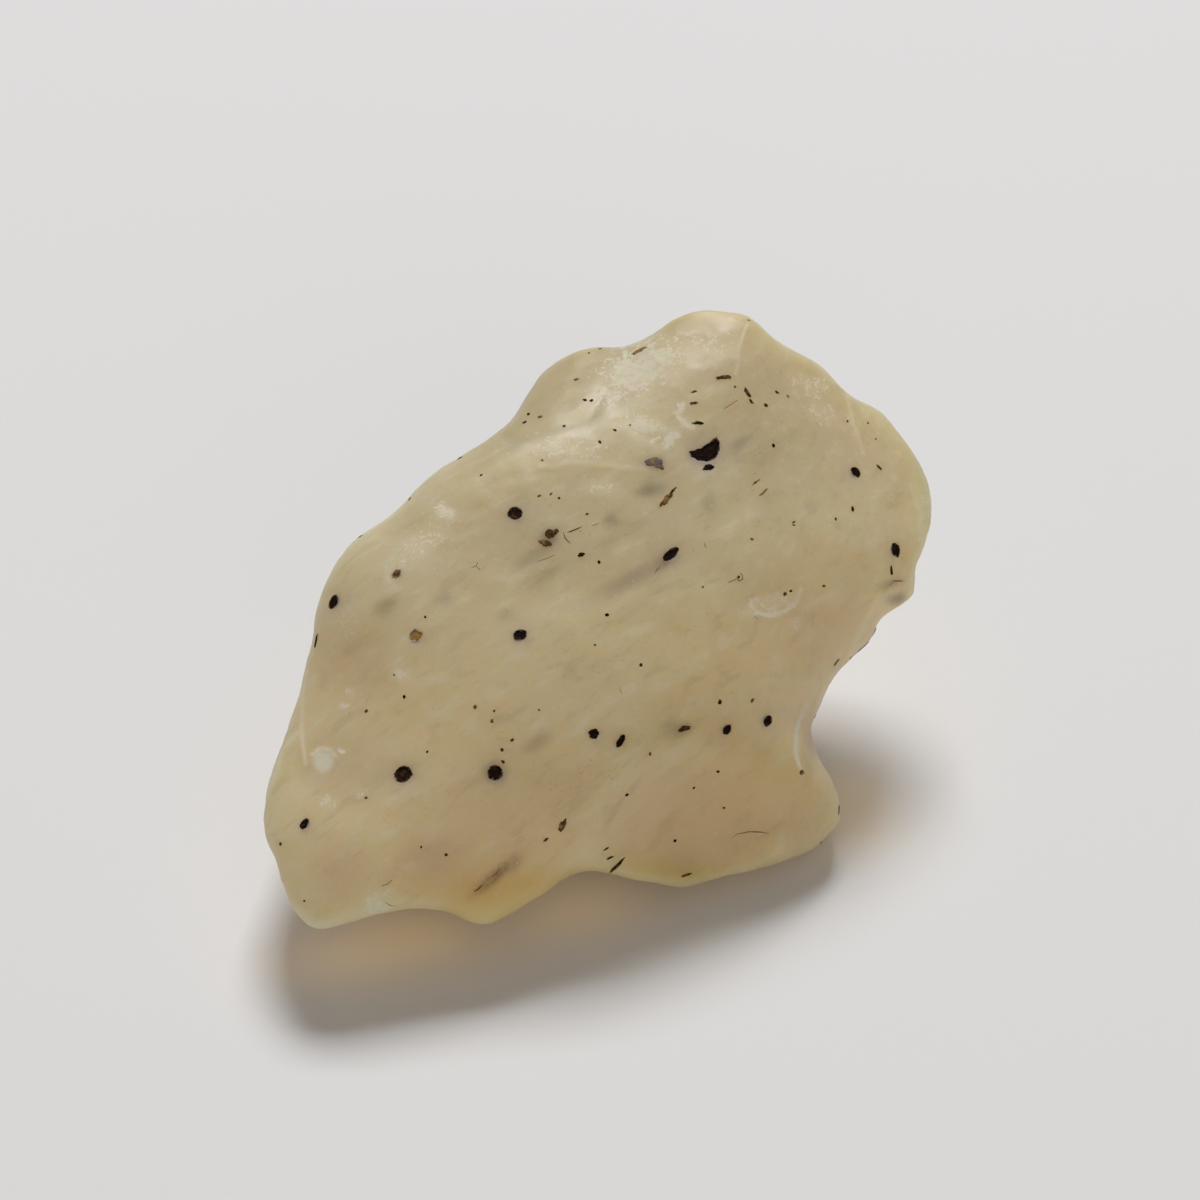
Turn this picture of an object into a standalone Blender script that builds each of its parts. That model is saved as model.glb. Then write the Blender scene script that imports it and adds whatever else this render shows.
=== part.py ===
"""Libyan desert glass: one wind-worn nodule of natural glass, about 38 mm long, lying as it was set down.

The stone is shaped from a sphere in the axes of its broad face, in millimetres: across, up the face and out of it.
A closed girdle line round its widest reach carries a low front dome and a deep back one. A lump swells it, planes
press its facets flat and balls scoop its hollows. It is then leant back and cut level where it rests, and its open
bubbles are sunk by small cutters.
"""

import math

import bmesh
import bpy
import numpy as np
from mathutils import Matrix, Vector, noise
from mathutils.bvhtree import BVHTree

MM = 0.001

# The broad face looks up at this angle above the floor, and the stone's centre is this high
FACE_ELEVATION = 38.0
CENTRE_HEIGHT = 10.6

# The girdle: across, up and out, clockwise from the crown
GIRDLE = [
    # crown and the step down to the right lobe
    (4.6, 15.7, -2.8), (7.4, 15.7, -2.9), (9.1, 14.1, -3.4), (11.7, 12.7, -4.2), (12.9, 11.6, -4.8),
    (14.3, 11.1, -5.0), (16.3, 8.6, -4.9), (17.4, 6.0, -4.6), (17.3, 4.3, -4.4), (16.5, 3.3, -4.1),
    # the ledge under the lobe, and the notch
    (16.0, 1.2, -3.6), (14.5, 0.3, -3.5), (13.8, -1.0, -3.6), (12.1, -2.6, -2.8), (11.2, -4.2, -1.8),
    (10.9, -6.6, -1.1), (11.8, -8.3, -1.0),
    # right foot and the lower edge
    (12.2, -9.6, -1.0), (11.4, -11.1, -0.9), (9.2, -12.1, 0.2), (6.6, -12.6, 1.3), (4.2, -13.2, 2.4),
    (1.6, -12.7, 3.3), (-1.6, -12.5, 4.6), (-3.0, -13.4, 5.4), (-5.4, -14.6, 6.4), (-7.8, -13.9, 7.2),
    # left foot
    (-10.6, -14.0, 7.9), (-13.4, -14.7, 8.4), (-14.8, -13.6, 8.0), (-15.6, -11.6, 6.8),
    # left side, up to the shoulder
    (-16.4, -9.6, 5.2), (-16.0, -7.0, 3.4), (-15.1, -3.8, 1.6), (-14.4, -1.0, 1.2), (-13.8, 1.6, 1.0),
    (-12.6, 3.6, 0.6), (-10.4, 5.4, -0.2), (-8.6, 7.2, -1.0), (-6.2, 8.9, -1.8), (-4.6, 10.1, -2.6),
    (-2.6, 12.7, -4.4), (-0.6, 13.8, -4.8), (2.0, 14.2, -3.6),
]

# The two domes that the girdle carries, and how square their shoulders are (2 is an ellipse)
FRONT_RISE = 6.0
FRONT_SHOULDER = 2.3
BACK_RISE = 15.0
BACK_SHOULDER = 2.4

# Degrees of the girdle that are averaged for the domes' inner part, and how fast its bumps fade away from it
CALM_SPAN = 140
BUMP_FADE = 6

# The lump that swells the shoulder: centre, half sizes and how softly it grows out
SHOULDER_LUMP = (-0.1, 9.3, -4.6)
SHOULDER_HALF = (3.2, 4.4, 3.0)
SHOULDER_BLEND = 0.8

# Facets pressed flat: name, the way each faces, a point on it, and how softly it meets its neighbours
FACETS = [
    ("broad face", (0.02, 0.40, 1.00), (0.0, 0.0, 5.2), 1.6),
    ("crown", (0.05, 0.66, 1.00), (7.4, 14.8, -1.8), 0.4),
    ("crown right", (0.75, 0.50, 1.00), (7.4, 14.8, -1.7), 0.4),
    ("right lobe", (0.80, 0.20, 1.00), (13.0, 8.0, -0.2), 0.5),
    ("right flank", (1.00, -0.15, 0.55), (14.2, -0.6, -0.6), 0.4),
    ("left flank", (-1.00, 0.12, 0.40), (-16.1, -3.0, 3.8), 0.3),
    ("left shoulder", (-0.62, 0.85, 0.60), (-9.4, 6.6, 1.2), 0.6),
    ("back", (0.15, 0.10, -1.00), (0.0, 0.0, -11.6), 1.6),
    ("back of the crown", (0.10, 0.90, -0.70), (3.0, 12.0, -8.8), 1.0),
    ("back left", (-0.80, 0.15, -0.70), (-10.6, 0.0, -7.8), 1.0),
    ("back right", (0.70, -0.30, -0.80), (11.4, 0.0, -8.2), 1.0),
    ("underside", (-0.30, -0.80, -0.60), (-5.0, -11.4, -3.6), 1.2),
]

# Hollows scooped out, as worn glass has: name, centre and radius of the ball
SCOOPS = [
    ("notch", (17.6, -5.4, 2.0), 6.6),
    ("lower scallop", (9.0, -14.0, 14.4), 12.8),
    ("back hollow", (5.5, 5.0, -20.6), 10.0),
    ("back left hollow", (-18.6, 3.5, -9.0), 8.4),
    ("back right hollow", (19.0, -1.0, -12.6), 9.0),
    ("crown hollow", (1.0, 18.6, -12.6), 8.2),
]
SCOOP_EDGE = 0.5

# The gentle unevenness of a wind-worn surface: height and length of its swells
SWELL = 0.22
SWELL_LENGTH = 6.0

# Open bubbles: name, across and up the face where a line from the sighting point meets it, width, length and
# depth, and the turn of the length from across towards up
SIGHT = (0.0, 1.0, 166.8)
BUBBLES = [
    ("bean", 5.35, 8.45, 1.00, 1.45, 0.60, 32),
    ("slanted slot", 3.55, 3.30, 0.45, 0.95, 0.40, 48),
    ("upper left", -4.25, 5.35, 0.66, 0.74, 0.40, 0),
    ("left oval", -13.35, 0.90, 0.56, 0.74, 0.36, 60),
    ("left small", -10.20, 2.30, 0.48, 0.56, 0.24, 0),
    ("amber", -9.25, -0.80, 0.60, 0.66, 0.24, 20),
    ("middle", -4.00, -0.75, 0.62, 0.70, 0.40, 10),
    ("low left big", -9.85, -7.70, 0.82, 0.90, 0.50, 15),
    ("low middle", -5.25, -7.65, 0.74, 0.78, 0.46, 0),
    ("left foot", -14.80, -10.20, 0.46, 0.56, 0.32, 70),
    ("row first", -0.30, -5.70, 0.48, 0.52, 0.30, 0),
    ("row second", 1.05, -6.05, 0.36, 0.66, 0.30, 62),
    ("row third", 6.35, -5.50, 0.48, 0.54, 0.30, 0),
    ("row fourth", 8.40, -5.05, 0.52, 0.62, 0.32, 30),
    ("right upper", 12.80, 7.40, 0.54, 0.60, 0.34, 80),
    ("right lower", 14.80, 3.50, 0.52, 0.72, 0.36, 80),
]

# Shallow dishes where flakes have come away: name, across, up, ball radius, how deep it bites
CHIPS = [
    ("crescent chip", 8.60, 0.90, 2.60, 0.30),
    ("white disc", -13.85, -7.00, 0.90, 0.16),
]

# Bubbles on the sides that the sighting point doesn't reach: the way out to each from the centre, and its width
HIDDEN_BUBBLES = [
    ((-0.50, 0.55, -0.65), 0.70), ((-0.80, 0.05, -0.50), 0.84), ((-0.62, -0.30, -0.55), 0.56),
    ((0.20, 0.85, -0.60), 0.76), ((0.55, 0.60, -0.70), 0.54), ((0.35, 0.20, -0.95), 0.90),
    ((0.90, 0.05, -0.60), 0.60), ((-0.20, 0.40, -0.90), 0.60), ((-0.10, 0.78, -0.55), 0.50),
]

SPHERE_LEVEL = 7
SOLID_SHARE = 0.082
LEVEL_BLOCK = 60.0

GLASS_GOLD = (0.62, 0.53, 0.30, 1.0)
GLASS_ROUGHNESS = 0.3


def closed_curve(points, angles):
    """A smooth closed curve through the points, read at any angle round the centre."""
    points = np.array(points)
    around = np.unwrap(np.arctan2(points[:, 1], points[:, 0]))[::-1]
    points = points[::-1]
    knots = np.concatenate([around[-2:] - math.tau, around, around[:2] + math.tau])
    values = np.concatenate([points[-2:], points, points[:2]])
    slopes = np.gradient(values, knots, axis=0)
    wanted = (angles - around[0]) % math.tau + around[0]
    k = np.searchsorted(knots, wanted, side="right") - 1
    width = (knots[k + 1] - knots[k])[:, None]
    t = (wanted - knots[k])[:, None] / width
    return (
        (2 * t**3 - 3 * t**2 + 1) * values[k]
        + (t**3 - 2 * t**2 + t) * width * slopes[k]
        + (3 * t**2 - 2 * t**3) * values[k + 1]
        + (t**3 - t**2) * width * slopes[k + 1]
    )


def calm_curve(angles):
    """The girdle averaged over a wide span, so that its small bumps don't reach the domes' middle."""
    degrees = np.radians(np.arange(-180, 180))
    line = closed_curve(GIRDLE, degrees)
    half = CALM_SPAN // 2
    running = np.cumsum(np.concatenate([line[-half:], line, line[:half]]), axis=0)
    calm = (running[2 * half:] - running[: -2 * half]) / (2 * half)
    return np.stack([np.interp(angles, degrees, calm[:, axis], period=math.tau) for axis in range(3)], axis=1)


def soft_min(a, b, softness):
    """The smaller of two distances, rounded where they cross."""
    overlap = np.maximum(softness - np.abs(a - b), 0.0)
    return np.minimum(a, b) - overlap**2 / (4.0 * softness)


def domes(sphere):
    """Carries the sphere's points onto the girdle and its two domes."""
    angles = np.arctan2(sphere[:, 1], sphere[:, 0])
    front = sphere[:, 2] > 0
    power = np.where(front, 2.0 / FRONT_SHOULDER, 2.0 / BACK_SHOULDER)
    along = np.hypot(sphere[:, 0], sphere[:, 1]) ** power
    near_rim = (along**BUMP_FADE)[:, None]
    rim = closed_curve(GIRDLE, angles) * near_rim + calm_curve(angles) * (1 - near_rim)
    points = rim * along[:, None]
    points[:, 2] += np.abs(sphere[:, 2]) ** power * np.where(front, FRONT_RISE, -BACK_RISE)
    return points


def swell_shoulder(way, reach):
    half = np.array(SHOULDER_HALF)
    scaled_way = way / half
    scaled_centre = np.array(SHOULDER_LUMP) / half
    a = np.sum(scaled_way**2, axis=1)
    b = scaled_way @ scaled_centre
    root = b**2 - a * (scaled_centre @ scaled_centre - 1.0)
    out = np.where(root > 0, (b + np.sqrt(np.maximum(root, 0.0))) / a, 0.0)
    return -soft_min(-reach, -out, SHOULDER_BLEND)


def press_facets(way, reach):
    far = 1000.0
    for _, facing, through, softness in FACETS:
        facing = np.array(facing) / np.linalg.norm(facing)
        toward = way @ facing
        plane = np.where(toward > 0.02, (facing @ np.array(through)) / np.maximum(toward, 0.02), far)
        reach = soft_min(reach, plane, softness)
    return reach


def scoop_hollows(way, reach):
    far = 1000.0
    for _, centre, radius in SCOOPS:
        b = way @ np.array(centre)
        root = b**2 - (np.dot(centre, centre) - radius**2)
        ball = np.where((root > 0) & (b > 0), b - np.sqrt(np.maximum(root, 0.0)), far)
        reach = soft_min(reach, ball, SCOOP_EDGE)
    return reach


def worn(points):
    """Works the domes' surface in and out along the lines from the stone's centre."""
    reach = np.linalg.norm(points, axis=1)
    way = points / reach[:, None]
    reach = swell_shoulder(way, reach)
    reach = press_facets(way, reach)
    reach = scoop_hollows(way, reach)
    swell = [noise.fractal(Vector(p) / SWELL_LENGTH, 0.9, 2.1, 3) for p in way * reach[:, None]]
    return way * (reach + np.array(swell) * SWELL)[:, None]


def glass():
    material = bpy.data.materials.new("desert glass")
    material.use_nodes = True
    surface = material.node_tree.nodes["Principled BSDF"]
    surface.inputs["Base Color"].default_value = GLASS_GOLD
    surface.inputs["Roughness"].default_value = GLASS_ROUGHNESS
    surface.inputs["Metallic"].default_value = 0.0
    return material


def add_object(name, bm, axes):
    """Makes an object of a mesh in the face's axes, leant back at its real size under the stone's empty."""
    lean = Matrix.Rotation(math.radians(90.0 - FACE_ELEVATION), 4, "X")
    lift = Matrix.Translation((0.0, 0.0, CENTRE_HEIGHT * MM))
    bmesh.ops.transform(bm, matrix=lift @ lean @ Matrix.Scale(MM, 4), verts=bm.verts)
    mesh = bpy.data.meshes.new(name)
    bm.to_mesh(mesh)
    bm.free()
    made = bpy.data.objects.new(name, mesh)
    bpy.context.collection.objects.link(made)
    made.parent = axes
    return made


def nodule():
    bm = bmesh.new()
    bmesh.ops.create_icosphere(bm, subdivisions=SPHERE_LEVEL, radius=1.0)
    sphere = np.array([v.co[:] for v in bm.verts])
    for vert, point in zip(bm.verts, worn(domes(sphere))):
        vert.co = point
    return bm


def sunk_ball(bm, spot, outward, turn, size, level):
    """Adds one ball of the given width, length and depth, its length turned in the surface at the spot."""
    along = Vector((math.cos(turn), math.sin(turn), 0.0))
    length_way = (along - outward * along.dot(outward)).normalized()
    width_way = length_way.cross(outward)
    axes = Matrix((width_way, length_way, outward)).transposed().to_4x4()
    stretch = Matrix.Diagonal((size[0] / 2, size[1] / 2, size[2], 1.0))
    bmesh.ops.create_icosphere(
        bm, subdivisions=level, radius=1.0, matrix=Matrix.Translation(spot) @ axes @ stretch
    )


def bubble_cutters(skin):
    bm = bmesh.new()
    sight = Vector(SIGHT)
    for _, across, up, width, length, depth, turn in BUBBLES:
        spot, outward, _, _ = skin.ray_cast(sight, Vector((across, up, 0.0)) - sight)
        sunk_ball(bm, spot, outward, math.radians(turn), (width, length, depth), 2)
    for _, across, up, radius, bite in CHIPS:
        spot, outward, _, _ = skin.ray_cast(sight, Vector((across, up, 0.0)) - sight)
        ball = (2 * radius, 2 * radius, radius)
        sunk_ball(bm, spot + outward * (radius - bite), outward, 0.0, ball, 3)
    for way, width in HIDDEN_BUBBLES:
        spot, outward, _, _ = skin.ray_cast(Vector(), Vector(way))
        sunk_ball(bm, spot, outward, 0.0, (width, width, width / 2), 2)
    return bm


def level_block():
    """The block under the floor, in the face's axes, so that it lies level once it is leant back."""
    bm = bmesh.new()
    bmesh.ops.create_cube(bm, size=LEVEL_BLOCK)
    upright = Matrix.Rotation(math.radians(FACE_ELEVATION - 90.0), 4, "X")
    under = Matrix.Translation((0.0, 0.0, -LEVEL_BLOCK / 2 - CENTRE_HEIGHT))
    bmesh.ops.transform(bm, matrix=upright @ under, verts=bm.verts)
    return bm


def cut_away(body, name, cutter):
    cutter.hide_render = True
    cutter.display_type = "WIRE"
    cut = body.modifiers.new(name, "BOOLEAN")
    cut.operation = "DIFFERENCE"
    cut.object = cutter


def stand_on_origin(axes, body):
    """Moves the stone so that the middle of its box, seen from above, is over the origin."""
    bpy.context.view_layer.update()
    solid = body.evaluated_get(bpy.context.evaluated_depsgraph_get())
    corners = np.array([solid.matrix_world @ Vector(corner) for corner in solid.bound_box])
    middle = (corners.min(axis=0) + corners.max(axis=0)) / 2
    axes.location = (-middle[0], -middle[1], 0.0)


def main():
    for leftover in list(bpy.data.objects):
        bpy.data.objects.remove(leftover)
    axes = bpy.data.objects.new("stone_axes", None)
    bpy.context.collection.objects.link(axes)

    stone = nodule()
    skin = BVHTree.FromBMesh(stone)
    body = add_object("desert_glass", stone, axes)
    body.data.materials.append(glass())
    body.data.shade_smooth()

    body.modifiers.new("thin out", "DECIMATE").ratio = SOLID_SHARE
    cut_away(body, "rest", add_object("rest_cutter", level_block(), axes))
    cut_away(body, "bubbles", add_object("bubble_cutter", bubble_cutters(skin), axes))
    stand_on_origin(axes, body)


main()
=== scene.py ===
"""Looks of a Libyan desert glass nodule: wind-worn natural glass with dirt in its open bubbles.

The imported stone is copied, refined and worked over as one piece of glass. Its bubbles are cut open and
filled with the silt that lodges in them, and thin dark flecks and hairlines lie in its skin. Marks are set
out in the axes of the broad face, in millimetres across and up, along lines from one sighting point, and sit
on the stone's own skin where those lines meet it.
"""

import math
import random

import bpy
import numpy as np
from mathutils import Matrix, Vector, noise
from mathutils.bvhtree import BVHTree


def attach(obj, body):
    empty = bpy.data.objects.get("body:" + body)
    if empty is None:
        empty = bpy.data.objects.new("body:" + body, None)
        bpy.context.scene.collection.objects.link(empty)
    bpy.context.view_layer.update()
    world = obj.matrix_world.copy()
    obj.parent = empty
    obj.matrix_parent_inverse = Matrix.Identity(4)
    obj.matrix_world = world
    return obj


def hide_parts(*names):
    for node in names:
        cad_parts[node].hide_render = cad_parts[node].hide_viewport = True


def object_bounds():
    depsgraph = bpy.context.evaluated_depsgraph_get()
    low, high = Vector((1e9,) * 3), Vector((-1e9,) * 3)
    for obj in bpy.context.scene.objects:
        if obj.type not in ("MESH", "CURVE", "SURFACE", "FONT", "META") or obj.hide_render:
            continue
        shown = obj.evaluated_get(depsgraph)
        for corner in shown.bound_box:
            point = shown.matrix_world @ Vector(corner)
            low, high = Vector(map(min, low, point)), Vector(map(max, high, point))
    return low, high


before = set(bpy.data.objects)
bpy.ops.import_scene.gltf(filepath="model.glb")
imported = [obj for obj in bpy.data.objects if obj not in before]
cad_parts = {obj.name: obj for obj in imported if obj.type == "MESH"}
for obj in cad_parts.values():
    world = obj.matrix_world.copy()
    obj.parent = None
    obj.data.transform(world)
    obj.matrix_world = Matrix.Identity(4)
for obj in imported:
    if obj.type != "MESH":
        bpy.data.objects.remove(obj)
cad_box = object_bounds()

MM = 0.001

# The broad face's axes in the stone's frame: it looks up at 38 degrees, its centre 10.6 mm above the floor
FACE_ELEVATION = math.radians(38.0)
STONE_CENTRE = Vector((-0.38, 0.60, 10.60)) * MM
ACROSS = Vector((1.0, 0.0, 0.0))
UP = Vector((0.0, math.sin(FACE_ELEVATION), math.cos(FACE_ELEVATION)))
OUT = Vector((0.0, -math.cos(FACE_ELEVATION), math.sin(FACE_ELEVATION)))

# The sighting point, which is also where the camera stands
SIGHT_UP = 1.0
SIGHT_DISTANCE = 166.8
SIGHT = STONE_CENTRE + (UP * SIGHT_UP + OUT * SIGHT_DISTANCE) * MM

# Grain of the refined skin, in millimetres, and the rounds that even out its steps and melt its hard edges
VOXEL = 0.24
SOFTEN_ROUNDS = 4
EASE_ROUNDS = 170

# Depth and width of the skin's relief, in millimetres
SWELL_WIDTH = 3.4
SWELL_DEPTH = 0.055
DIMPLE_WIDTH = 1.7
DIMPLE_DEPTH = 0.025
SKIN_BACK = 0.02
NIBBLE_WIDTH = 1.3
NIBBLE_DEPTH = 0.06

# Lines up to this half width get a finer mesh, as far out as the reach, with this many cuts to an edge
FINE_LINE = 0.24
FINE_REACH = 0.24
FINE_CUTS = 2

# How far thin white scratches and rims stand up, in millimetres
SCRATCH_LIFT = 0.03

# How rough the bubbles' walls are, and how far the silt fills them and lies below their brim
WALL_ROUGHNESS = 0.42
SILT_FILL = 0.985
SILT_LID = -0.04

# Spots of the broad face where the solid's facets melt into each other: across, up and reach
EASED_SPOTS = [(4.9, 13.0, 3.0), (-14.00, -7.20, 1.7), (8.60, 0.90, 1.8)]

# Ridges of the broad face, each with its height, half width and how much pale wear and painted highlight it
# carries
RIDGES = [
    ("crown", 0.03, 0.10, 0.6, [(7.42, 14.8), (7.2, 14.2), (7.0, 13.5), (6.95, 12.8), (6.85, 12.3)]),
    ("lobe junction", 0.06, 0.14, 0.8, [(12.4, 11.2), (12.7, 9.85), (13.2, 8.3)]),
    ("lobe rim", 0.06, 0.20, 0.5, [(15.6, 6.6), (16.05, 5.3), (15.95, 3.75), (15.6, 2.8)]),
    ("right edge", 0.06, 0.16, 0.8, [(14.0, 1.3), (13.4, 0.3), (12.75, -1.0), (12.35, -2.1), (11.5, -3.1)]),
    ("notch line", 0.07, 0.12, 2.0, [(10.3, -4.15), (9.8, -5.35), (9.75, -6.7), (10.05, -7.55)]),
    ("left edge", 0.06, 0.12, 1.3, [(-14.55, -1.9), (-14.9, -4.2), (-14.95, -5.8), (-14.75, -7.2)]),
    ("left strip", 0.07, 0.12, 1.6, [(-15.15, -5.7), (-15.9, -6.6), (-16.15, -7.55), (-16.65, -8.8)]),
    ("step", 0.02, 0.20, 0.5, [(-3.0, 7.6), (-1.0, 7.85), (1.0, 7.6), (2.4, 7.5)]),
    ("scallop edge", 0.05, 0.30, 0.3, [(8.0, -3.15), (9.5, -3.0), (11.0, -3.05)]),
    ("shoulder fold", -0.10, 0.35, 0.0, [(-4.75, 9.2), (-4.0, 9.2), (-2.5, 9.6), (-0.5, 10.3), (0.2, 11.5)]),
]

# Open bubbles: name, across, up, width, length, depth and the turn of their length from across towards up
BUBBLES = [
    ("bean", 5.35, 8.47, 0.76, 1.56, 0.55, 36),
    ("slanted slot", 3.55, 3.30, 0.42, 0.90, 0.40, 44),
    ("upper left", -4.25, 5.35, 0.64, 0.66, 0.40, 30),
    ("left oval", -13.35, 0.90, 0.60, 0.70, 0.36, 60),
    ("left small", -10.20, 2.30, 0.44, 0.54, 0.24, 60),
    ("amber", -9.25, -0.80, 0.56, 0.60, 0.24, 50),
    ("middle", -4.00, -0.75, 0.52, 0.64, 0.40, 25),
    ("low left big", -9.85, -7.72, 0.74, 0.80, 0.50, 50),
    ("low middle", -5.25, -7.65, 0.66, 0.68, 0.46, 0),
    ("left foot", -14.80, -10.20, 0.38, 0.54, 0.32, 65),
    ("row first", -0.30, -5.70, 0.44, 0.50, 0.30, 60),
    ("row second", 1.05, -6.05, 0.30, 0.62, 0.30, 56),
    ("row third", 6.35, -5.50, 0.38, 0.50, 0.30, 45),
    ("row fourth", 8.40, -5.05, 0.42, 0.60, 0.32, 38),
    ("right upper", 12.80, 7.40, 0.54, 0.54, 0.34, 80),
    ("right lower", 14.80, 3.50, 0.56, 0.68, 0.36, 80),
]

# The bean bulges down and to the right
BEAN_BEND = -0.75

# Shallow dishes where flakes came away: across, up, length, width, depth and turn
DISHES = [
    (8.75, 0.95, 2.5, 1.4, 0.10, 20),
    (-13.85, -7.00, 1.0, 1.2, 0.05, 0),
    (2.4, 12.1, 1.7, 1.0, 0.06, 30),
    (0.9, 11.3, 1.3, 0.9, 0.05, 50),
    (2.6, 9.1, 1.2, 0.7, 0.06, -20),
]

# Silt of some bubbles is browner than black: tone 0 is black, 0.5 umber, 0.8 amber
BUBBLE_TONES = {
    "left small": 0.52,
    "amber": 0.80,
    "low left big": 0.22,
    "low middle": 0.12,
    "upper left": 0.20,
}
PLAIN_TONE = 0.06

# Bubbles on the hidden sides: way out from the stone's centre in face axes, and width
HIDDEN_BUBBLES = [
    ((-0.50, 0.55, -0.65), 0.70),
    ((-0.80, 0.05, -0.50), 0.84),
    ((-0.62, -0.30, -0.55), 0.56),
    ((0.20, 0.85, -0.60), 0.76),
    ((0.55, 0.60, -0.70), 0.54),
    ((0.35, 0.20, -0.95), 0.90),
    ((0.90, 0.05, -0.60), 0.60),
    ((-0.20, 0.40, -0.90), 0.60),
    ((-0.10, 0.78, -0.55), 0.50),
]

# Flecks lying in the skin: across, up, length, width, turn and tone
FLECKS = [
    (5.45, 7.62, 0.72, 0.36, 18, 0.05),
    (-14.22, -1.10, 0.80, 0.20, 82, 0.25),
    (2.70, 7.90, 0.90, 0.46, 6, 1.0),
    (3.00, 7.65, 0.50, 0.26, -20, 1.0),
    (3.30, 6.00, 0.95, 0.30, 52, 0.55),
    (3.62, 6.42, 0.70, 0.14, 55, 0.45),
    (1.90, 13.45, 0.85, 0.36, 14, 0.82),
    (6.20, 12.15, 0.72, 0.24, 12, 0.40),
    (4.70, 10.85, 0.46, 0.17, 10, 0.45),
    (4.90, 9.85, 0.60, 0.20, 3, 0.25),
    (7.38, 11.38, 0.60, 0.24, 122, 0.42),
    (7.56, 10.95, 0.36, 0.14, 130, 0.50),
    (4.70, 11.42, 0.36, 0.12, 20, 0.55),
    (13.95, 7.65, 0.38, 0.17, -35, 0.40),
    (12.65, 5.55, 0.34, 0.17, 70, 0.10),
    (4.20, -5.45, 0.80, 0.26, 15, 0.35),
    (-1.85, -10.25, 0.70, 0.32, 65, 0.48),
    (-2.70, -11.00, 0.32, 0.14, 35, 0.35),
    (0.30, -11.45, 0.42, 0.10, 8, 0.40),
    (0.50, -11.90, 0.42, 0.13, 5, 0.35),
    (0.85, -12.30, 1.00, 0.20, 32, 0.30),
    (4.35, -12.75, 0.60, 0.14, 15, 0.45),
    (7.90, -12.70, 0.24, 0.14, 10, 0.40),
    (11.95, -9.50, 0.46, 0.20, 80, 0.40),
    (10.10, -7.65, 0.30, 0.28, 0, 0.62),
    (16.02, 3.00, 0.60, 0.16, 75, 0.30),
    (11.85, -2.10, 0.62, 0.24, 40, 0.58),
    (-2.50, 4.30, 0.52, 0.56, 30, 0.38),
    (-2.72, 3.85, 0.62, 0.40, -20, 0.50),
    (-2.20, 4.45, 0.34, 0.26, 70, 0.45),
    (-0.95, 3.25, 0.36, 0.24, 20, 0.15),
    (-7.00, 8.10, 0.30, 0.14, 30, 0.30),
    (5.90, -7.60, 0.22, 0.16, 0, 0.30),
    (7.62, -4.05, 0.30, 0.18, 40, 0.58),
    (-3.05, 6.20, 0.24, 0.12, 30, 0.50),
    (-2.45, 6.30, 0.22, 0.10, 60, 0.50),
    (8.20, 6.40, 0.70, 0.12, 45, 0.66),
    (7.80, 6.90, 0.50, 0.10, 40, 0.66),
    (9.70, 4.90, 0.24, 0.10, 30, 0.50),
]

# Hairlines and drawn-out strokes: width, tone and the points they run through
STROKES = [
    (0.09, 0.42, [(-1.70, 4.35), (-1.30, 4.50), (-0.85, 4.70)]),
    (0.08, 0.50, [(-1.85, 4.45), (-1.75, 4.10), (-1.45, 3.80)]),
    (0.05, 0.58, [(-0.45, 4.70), (0.00, 4.85)]),
    (0.07, 0.60, [(7.0, 2.3), (6.85, 2.1), (6.95, 1.95), (7.15, 2.05), (7.10, 2.30), (6.9, 2.35)]),
    (0.06, 0.62, [(6.85, 2.05), (6.6, 1.95), (6.35, 1.85)]),
    (0.07, 0.52, [(6.45, -11.05), (6.85, -10.72), (7.45, -10.60), (8.1, -10.62), (8.7, -10.75)]),
    (0.09, 0.48, [(-6.35, -13.62), (-6.1, -13.48), (-5.85, -13.2)]),
    (0.06, 0.58, [(-5.5, -12.9), (-5.2, -12.7), (-5.05, -12.45)]),
    (0.05, 0.50, [(-11.0, -13.35), (-10.6, -13.2), (-10.35, -12.95)]),
    (0.05, 0.50, [(-10.8, -14.1), (-10.45, -14.3), (-10.1, -14.3)]),
    (0.08, 0.32, [(14.3, 1.55), (14.7, 1.95), (15.3, 1.95)]),
    (0.05, 0.60, [(6.1, 10.5), (6.5, 10.75), (6.95, 11.05)]),
    (0.05, 0.70, [(-6.5, 2.6), (-6.2, 2.7), (-6.1, 2.95)]),
    (0.04, 0.66, [(-6.2, 2.7), (-5.95, 2.45)]),
    (0.05, 0.62, [(3.05, 2.75), (2.80, 2.45), (2.65, 2.25)]),
    (0.04, 0.60, [(0.95, -3.3), (1.05, -3.6), (1.15, -3.75)]),
    (0.04, 0.62, [(-3.2, 2.9), (-2.6, 3.1), (-2.2, 3.3)]),
    (0.04, 0.60, [(5.2, 3.9), (5.3, 3.6)]),
    (0.04, 0.60, [(7.7, 0.2), (7.9, 0.05)]),
]

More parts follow.
